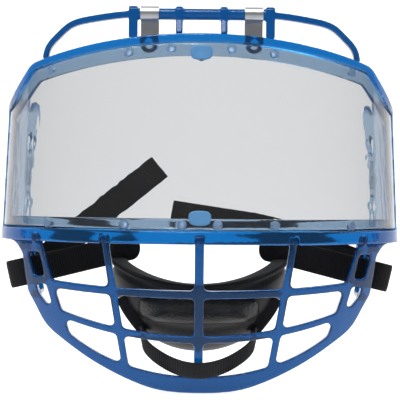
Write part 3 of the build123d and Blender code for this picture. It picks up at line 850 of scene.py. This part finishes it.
@dataclass
class Trim:
    """The steel clips and the blank labels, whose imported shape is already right."""

    finishes: Finishes
    edge_mm: float = 0.25

    def dress(self, nodes: Nodes) -> None:
        """Gives the clips and labels their finish, and the clips broken edges."""
        for side in Side:
            clip = nodes[f"brow_clip_{side.word}"]
            give(clip, self.finishes.steel)
            edge = clip.modifiers.new("edge", "BEVEL")
            edge.width = self.edge_mm * MM
            edge.segments = 2
            edge.limit_method = "ANGLE"
            give(nodes[f"blank_label_{side.word}"], self.finishes.label)


@dataclass(frozen=True)
class Ridge:
    """A smooth ridge, or a groove if its height is negative, that runs along the cup below its lip."""

    height: float
    below_lip: float
    spread: float

    def at(self, drop: float) -> float:
        """Returns its height at a distance below the lip."""
        return self.height * math.exp(-(((drop - self.below_lip) / self.spread) ** 2))


@dataclass
class ChinCup:
    """The chin cup: a shell with a soft lining, a bound edge and a pebbled pad on its front."""

    finishes: Finishes
    half: Point = (49.0, 36.0, 47.0)
    back_past_middle: float = 1.9
    shell: float = 2.2
    liner: float = 4.5
    lip_z: float = -141.4
    lip_radius: float = 92.0
    layer_gap: float = 0.1
    binding_h: float = 3.4
    binding_proud: float = 1.2
    binding_around: int = 24
    binding_power: float = 0.6  # 1 makes the roll's section an ellipse, and less makes it squarer
    groove: Ridge = Ridge(-1.0, 5.6, 1.8)
    belly: Ridge = Ridge(1.1, 15.0, 5.0)
    belly_half: float = 46.0
    undercut: Ridge = Ridge(-1.2, 26.0, 3.0)
    bottom_rise: float = -math.pi / 2 * 0.985
    columns: int = 120
    rows: int = 46
    pad_columns: int = 90
    pad_rows: int = 30
    pad_gap: float = 0.12
    pad_crown: float = 3.1
    pad_waist: float = 0.86  # the least share of the pad's half width that any height keeps
    middle: Vector = field(init=False)

    def __post_init__(self) -> None:
        """Finds the bowl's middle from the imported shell."""
        low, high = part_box("cup_shell")
        self.middle = Vector((0.0, high.y / MM - 2.0, low.z / MM + self.half[2]))

    def lip(self, x: float) -> float:
        """Returns the height of the cup's top edge at a place across."""
        reach = min(abs(x), self.lip_radius * 0.95)
        return self.lip_z + self.lip_radius - math.sqrt(self.lip_radius**2 - reach**2)

    def place(self, turn: float, rise: float, grow: float) -> Vector:
        """Returns a place on the bowl, by its turn round the cup and its rise, grown outwards."""
        a, b, c = (h + grow for h in self.half)
        flat = math.cos(rise)
        across, ahead = -a * flat * math.cos(turn), -b * flat * math.sin(turn)
        return self.middle + Vector((across, ahead, c * math.sin(rise)))

    def edge_rise(self, turn: float, grow: float, drop: float) -> float:
        """Returns the rise at which the bowl meets the lip line, lowered by a drop."""
        rise = 0.0
        for _ in range(6):
            z = self.lip(self.place(turn, rise, grow).x) - drop
            share = (z - self.middle.z) / (self.half[2] + grow)
            rise = math.asin(max(-0.99, min(0.99, share)))
        return rise

    def turns(self) -> list[float]:
        """Returns the turns round the cup from one back edge to the other."""
        past = self.back_past_middle / self.half[1]
        return [-past + (math.pi + 2 * past) * i / self.columns for i in range(self.columns + 1)]

    def sheet(
        self, grow: float, drop: float, relief: Callable[[Vector], float], skin: Skin
    ) -> list[list[int]]:
        """Adds one surface of the bowl, from the lip down to the bottom."""
        rows = []
        for r in range(self.rows + 1):
            row = []
            for turn in self.turns():
                top = self.edge_rise(turn, grow, drop)
                rise = top + (self.bottom_rise - top) * r / self.rows
                point = self.place(turn, rise, grow)
                row.append(skin.add(self.place(turn, rise, grow + relief(point))))
            rows.append(row)
        return rows

    def layer(
        self,
        name: str,
        outside: float,
        thickness: float,
        relief: Callable[[Vector], float],
        material: Material,
    ) -> bpy.types.Object:
        """Builds one closed layer of the cup.

        Args:
            name: The piece's name.
            outside: How far its outer surface stands outside the plain bowl.
            thickness: The distance from there in to its inner surface.
            relief: What the outer surface adds to that, by place.
            material: Its material.

        Returns:
            The layer.
        """
        skin = Skin()
        outer = self.sheet(outside, self.binding_h, relief, skin)
        inner = self.sheet(outside - thickness, self.binding_h, lambda _: 0.0, skin)
        skin.shell(outer, inner)
        return skin.piece(name, material)

    def shell_relief(self, point: Vector) -> float:
        """Returns how far the shell stands off its plain bowl: a groove, a swell and an undercut."""
        drop = self.lip(point.x) - point.z
        fade = max(0.0, 1.0 - (abs(point.x) / self.belly_half) ** 4)
        return self.groove.at(drop) + self.belly.at(drop) * fade + self.undercut.at(drop)

    def build(self) -> None:
        """Builds the shell, the lining, the bound edge, the front pad and the stitches along the edge."""
        shell = self.layer("cup_moulded_shell", 0.0, self.shell, self.shell_relief, self.finishes.cup)
        self.place_on(shell, "cup_shell")
        inside = -self.shell - self.layer_gap
        liner = self.layer("cup_foam_lining", inside, self.liner, lambda _: 0.0, self.finishes.foam)
        self.place_on(liner, "cup_liner")
        self.place_on(self.edge(), "cup_edge_binding")
        pad = self.front_pad()
        self.place_on(pad, "cup_front_pad")
        self.edge_stitches()

    def place_on(self, piece: bpy.types.Object, node: str) -> None:
        """Puts a piece on the cup in place of its node."""
        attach(piece, "chin_cup")
        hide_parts(node)
        LOG.info("%s: %d faces", piece.name, len(piece.data.polygons))

    def edge(self) -> bpy.types.Object:
        """Builds the bound edge as a rounded roll along the lip."""
        skin = Skin()
        rows, gone, last = [], 0.0, None
        wall = self.shell + self.layer_gap + self.liner
        for turn in self.turns():
            rise = self.edge_rise(turn, -wall / 2, self.binding_h / 2)
            middle = self.place(turn, rise, -wall / 2)
            outward = (self.place(turn, rise, 1.0) - self.place(turn, rise, 0.0)).normalized()
            up = Vector((0.0, 0.0, 1.0))
            outward = (outward - up * outward.dot(up)).normalized()
            if last is not None:
                gone += (middle - last).length
            last = middle
            row = []
            for k in range(self.binding_around):
                angle = 2.0 * math.pi * k / self.binding_around
                c, s = math.cos(angle), math.sin(angle)
                out = math.copysign(abs(c) ** self.binding_power, c) * (wall / 2 + self.binding_proud)
                rise_mm = math.copysign(abs(s) ** self.binding_power, s) * self.binding_h / 2
                row.append(skin.add(middle + outward * out + up * rise_mm, (gone, out + rise_mm)))
            rows.append(row)
        skin.tube(rows)
        return skin.piece("cup_bound_edge", self.finishes.binding)

    def edge_stitches(self) -> None:
        """Sews a line of thread along the bound edge."""
        skin = Skin()
        thread = Stitching(length=2.4, gap=0.8, radius=0.22)
        proud = self.binding_proud - 0.25
        turns = self.turns()[3:-3]
        for a, b in zip(turns, turns[1:]):
            ends = []
            for turn in (a, b):
                rise = self.edge_rise(turn, proud, self.binding_h * 0.62)
                ends.append(self.place(turn, rise, proud))
            outward = (self.place(a, 0.0, 1.0) - self.place(a, 0.0, 0.0)).normalized()
            thread.sew(skin, ends[0], ends[1], outward)
        piece = skin.piece("cup_edge_stitches", self.finishes.thread)
        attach(piece, "chin_cup")

    def front_pad(self) -> bpy.types.Object:
        """Builds the crowned, pebbled pad on the front of the cup."""
        low, high = (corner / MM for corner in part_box("cup_front_pad"))
        half_w = high.x
        half_h = (high.z - low.z) / 2
        mid_z = (high.z + low.z) / 2
        skin = Skin()
        sheets = []
        for crown_h in (self.pad_crown, 0.0):
            rows = []
            for j in range(self.pad_rows + 1):
                v = 2.0 * j / self.pad_rows - 1.0
                reach = (1.0 - abs(v) ** 5) ** 0.2 if abs(v) < 1 else 0.0
                row = []
                for i in range(self.pad_columns + 1):
                    u = 2.0 * i / self.pad_columns - 1.0
                    x = half_w * u * max(reach, self.pad_waist)
                    z = mid_z + half_h * v * (1.0 - 0.12 * abs(u) ** 6)
                    crown = ((1.0 - abs(u) ** 6) * (1.0 - abs(v) ** 3.2)) ** 0.5
                    row.append(skin.add(self.front_place(x, z, self.pad_gap + crown_h * crown)))
                rows.append(row)
            sheets.append(rows)
        skin.shell(*sheets)
        return skin.piece("cup_pebbled_pad", self.finishes.pebbled)

    def front_place(self, x: float, z: float, grow: float) -> Vector:
        """Returns the place on the front of the bowl at a place across and a height."""
        grow += self.shell_relief(Vector((x, 0.0, z)))
        a, b, c = (h + grow for h in self.half)
        share = 1.0 - (x / a) ** 2 - ((z - self.middle.z) / c) ** 2
        return Vector((x, self.middle.y - b * math.sqrt(max(share, 0.0)), z))


@dataclass
class Webbing:
    """All the straps: two chin straps, their tails and patches, and the lower strap."""

    finishes: Finishes
    cup: ChinCup
    step: float = 0.35
    width: float = 15.0
    thickness: float = 1.5
    lean_deg: float = 13.0
    pivot: tuple[float, float] = (93.0, -135.7)
    plan: tuple[tuple[float, float], ...] = (
        (34.0, 59.8),
        (50.0, 59.6),
        (62.0, 53.0),
        (76.0, 44.0),
        (86.0, 37.8),
        (93.0, 36.0),
        (101.5, 33.8),
        (105.0, 37.0),
        (102.0, 40.6),
        (94.0, 42.2),
        (84.0, 45.6),
    )
    lower_nose: Point = (0.0, -1.4, -184.6)
    lower_lean_deg: float = 24.0
    lower_plan: tuple[tuple[float, float], ...] = ((31.0, 38.0), (28.5, 21.0), (9.5, 0.0))
    lower_width: float = 9.6
    lower_thickness: float = 1.4
    lower_end_spots: tuple[tuple[float, float], ...] = (
        (29.5, -167.8),
        (34.0, -162.5),
        (38.5, -156.0),
        (41.5, -149.5),
    )
    lower_end_middle: tuple[float, float] = (36.0, -159.0)
    hem_length: float = 11.0
    hem_rows: tuple[float, float] = (8.2, 10.0)

    def build(self, nodes: Nodes) -> None:
        """Builds every strap and both patches."""
        for side in Side:
            self.chin_strap(side)
        self.tail(Side.LEFT, (-91.0, 50.6, -133.4), (-23.5, 75.0, -77.0), 0.0)
        self.patch(Side.LEFT, nodes)
        self.tail(Side.RIGHT, (91.5, 51.8, -131.4), (-16.5, 76.0, -104.0), 6.0)
        self.patch(Side.RIGHT, nodes)
        self.lower()

    def chin_strap(self, side: Side) -> None:
        """Builds one chin strap, from the cup round the keeper bar and back."""
        sign = side.value
        lean = math.radians(self.lean_deg)
        across = Vector((sign * math.sin(lean), 0.0, math.cos(lean)))
        pivot_x, pivot_z = self.pivot
        places = [(sign * x, y, pivot_z - math.tan(lean) * (x - pivot_x)) for x, y in self.plan]
        path = smooth_path(places, self.step, 3)
        ribbon = Ribbon(self.width, self.thickness, round_start=6.0)
        piece = ribbon.build(f"chin_webbing_{side.word}", path, lambda _: across, self.finishes.weave)
        start, end = (sign * 64 * MM, 0.052, -0.129), (sign * 50 * MM, 0.052, -0.126)
        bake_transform(piece)
        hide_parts(f"chin_strap_{side.word}")
        LOG.info("%s: %d faces", piece.name, len(piece.data.polygons))

    def tail(self, side: Side, low: Point, high: Point, bow: float) -> None:
        """Builds the webbing's free end behind the lens, with its hem.

        Args:
            side: Which tail it is.
            low: The middle of its end at the strap bar.
            high: The middle of its free end.
            bow: How far the corner of its path lies above the straight line.
        """
        start, end = Vector(low), Vector(high)
        run = end - start
        across = run.cross(Vector((0.0, -1.0, 0.0))).normalized()
        proud = run.normalized().cross(across).normalized()
        up = proud.cross(run).normalized()
        middle = (start + end) / 2 + up * bow
        path = smooth_path([start, start.lerp(middle, 0.6), middle, end.lerp(middle, 0.6), end], self.step, 3)
        path = [p + proud * self.thickness / 2 for p in path]
        ribbon = Ribbon(self.width, self.thickness)
        piece = ribbon.build(f"tail_webbing_{side.word}", path, lambda _: across, self.finishes.weave)
        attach(piece, "mask")
        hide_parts(f"strap_tail_{side.word}")
        way = (path[-1] - path[-2]).normalized()
        behind = path[-1] + proud * self.thickness * 0.92
        folded = smooth_path([behind - way * d for d in (0.2, 4.0, 8.0, self.hem_length)], self.step, 1)
        ribbon = Ribbon(self.width * 0.97, self.thickness * 0.8)
        hem = ribbon.build(f"tail_hem_{side.word}", folded, lambda _: across, self.finishes.weave)
        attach(hem, "mask")
        self.sew_hem(side, path[-1], way, across, proud)
        LOG.info("%s: %d faces", piece.name, len(piece.data.polygons))

    def patch(self, side: Side, nodes: Nodes) -> None:
        """Builds the hook-and-loop patch that holds a tail."""
        words = (f"hook_patch_{side.word}", "mask", "hook_black")
        Moulding(*words, self.finishes.hooks, f"patch_{side.word}", 0.3, 3).build(nodes)

    def sew_hem(self, side: Side, end: Vector, way: Vector, across: Vector, proud: Vector) -> None:
        """Sews two rows of stitches through a tail's hem, on its front face.

        Args:
            side: Which tail it is.
            end: The middle of its free end.
            way: The direction towards that end.
            across: The direction of its width.
            proud: The direction from its front face to its back.
        """
        skin = Skin()
        thread = Stitching(length=1.8, gap=0.8, radius=0.2)
        reach = across * (self.width / 2 - 1.2)
        front = end - proud * (self.thickness / 2 + 0.02)
        for back in self.hem_rows:
            thread.sew(skin, front - way * back - reach, front - way * back + reach, -proud)
        piece = skin.piece(f"hem_stitches_{side.word}", self.finishes.thread)
        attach(piece, "mask")

    def lower(self) -> None:
        """Builds the narrow strap from the cup's snaps round the front of the centre bar."""
        lean = math.radians(self.lower_lean_deg)
        nose = Vector(self.lower_nose)
        back = Vector((0.0, math.cos(lean), math.sin(lean)))
        across = Vector((0.0, -math.sin(lean), math.cos(lean)))
        right = [nose + Vector((x, 0.0, 0.0)) + back * y for x, y in self.lower_plan]
        left = [nose + Vector((-x, 0.0, 0.0)) + back * y for x, y in reversed(self.lower_plan)]
        path = smooth_path([*right, *left], self.step, 3)
        ribbon = Ribbon(self.lower_width, self.lower_thickness, rib_pitch=1.6, rib_depth=0.22)
        piece = ribbon.build("lower_webbing", path, lambda _: across, self.finishes.weave)
        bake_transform(piece)
        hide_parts("lower_strap")
        for side in Side:
            self.lower_end(side)

    def lower_end(self, side: Side) -> None:
        """Lays the lower strap's sewn end up the side of the cup, over its snap."""
        sign, surface = side.value, self.cup.front_place
        path = smooth_path([surface(sign * x, z, 1.1) for x, z in self.lower_end_spots], self.step, 2)
        x, z = self.lower_end_middle
        away = surface(sign * x, z, 9.0) - surface(sign * x, z, 0.0)
        across = away.cross(path[-1] - path[0]).normalized()
        ribbon = Ribbon(self.lower_width * 0.95, 1.2)
        piece = ribbon.build(f"lower_strap_end_{side.word}", path, lambda _: across, self.finishes.weave)
        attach(piece, "chin_cup")


@dataclass
class Studio:
    """Pale sweep, soft lights and the camera."""

    distance: float = 0.6055
    eye_height: float = -0.0962
    lens_mm: float = 105.1
    roll_deg: float = -0.6
    floor_gap: float = 0.0004
    dim_until: float = 0.20
    lit_from: float = 0.02
    world_strength: float = 0.26
    sweep_half_mm: float = 3000.0
    front_mm: float = -2500.0
    bend_mm: float = 700.0
    bend_radius_mm: float = 500.0
    bend_steps: int = 12
    backdrop_mm: float = 3000.0

    def build(self, low: Vector, high: Vector) -> None:
        """Builds the sweep, the lights and the camera.

        Args:
            low: The object's lowest corner.
            high: Its highest corner.
        """
        self.sweep(low.z - self.floor_gap)
        middle = (low + high) / 2
        for name, place, size, watts in (
            ("key", (-0.25, -0.55, 1.0), 0.7, 14.0),
            ("rim_light", (0.5, 0.6, 0.9), 0.5, 6.0),
        ):
            light = bpy.data.lights.new(name, "AREA")
            light.size = size
            light.energy = watts
            lamp = bpy.data.objects.new(name, light)
            lamp.location = place
            lamp.rotation_euler = (middle - Vector(place)).to_track_quat("-Z", "Y").to_euler()
            bpy.context.scene.collection.objects.link(lamp)
        world = bpy.data.worlds.new("studio")
        world.use_nodes = True
        background = world.node_tree.nodes["Background"]
        background.inputs["Color"].default_value = (1.0, 1.0, 1.0, 1.0)
        background.inputs["Strength"].default_value = self.world_strength
        bpy.context.scene.world = world
        bpy.context.scene.view_settings.view_transform = "Standard"
        self.camera()

    def sweep(self, floor_z: float) -> None:
        """Builds a floor that curves up into a backdrop, glowing by its own emission as painted light."""
        skin = Skin()
        bend, radius, half = self.bend_mm, self.bend_radius_mm, self.sweep_half_mm
        profile = [(self.front_mm, 0.0), (bend, 0.0)]
        for k in range(1, self.bend_steps + 1):
            angle = math.pi / 2 * k / self.bend_steps
            profile.append((bend + radius * math.sin(angle), radius * (1.0 - math.cos(angle))))
        profile.append((bend + radius, self.backdrop_mm))
        skin.grid([[skin.add((x, y, z + floor_z / MM)) for x in (-half, half)] for y, z in profile])
        tree = Tree("sweep_white")
        _, depth, _ = tree.axes()
        # Painted light: the sweep glows by its own emission, dim grey towards the camera and full white from
        # just in front of the mask back.
        lit = ((depth + self.dim_until) * (1.0 / (self.dim_until - self.lit_from))).between_0_and_1()
        material = tree.finish(
            {
                "Base Color": (0.45, 0.45, 0.45, 1.0),
                "Roughness": 0.9,
                "Emission Color": tree.mix(lit, (0.22, 0.22, 0.22), (1.0, 1.0, 1.0)),
                "Emission Strength": 0.88,
            }
        )
        skin.piece("sweep", material)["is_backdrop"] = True

    def camera(self) -> None:
        """Adds the camera, level, looking along +Y."""
        data = bpy.data.cameras.new("camera")
        data.lens = self.lens_mm
        data.sensor_width = 36.0
        data.clip_end = 20.0
        camera = bpy.data.objects.new("camera", data)
        camera.location = (0.0, -self.distance, self.eye_height)
        camera.rotation_euler = (math.pi / 2, math.radians(self.roll_deg), 0.0)
        bpy.context.scene.collection.objects.link(camera)
        bpy.context.scene.camera = camera


def main() -> None:
    """Builds every sub-assembly in order."""
    logging.basicConfig(level=logging.INFO, format="%(name)s %(message)s")
    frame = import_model()
    low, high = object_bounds()
    nodes = frame["nodes"]
    finishes = Finishes()
    Studio().build(low, high)
    MouldedShell(finishes).build(nodes)
    LensSet(finishes).build(nodes)
    Trim(finishes).dress(nodes)
    cup = ChinCup(finishes)
    cup.build()
    Moulding("cup_snaps", "chin_cup", "cup_black", finishes.cup, "snap_caps", 0.25, 4).build(nodes)
    Webbing(finishes, cup).build(nodes)


if __name__ == "__main__":
    main()
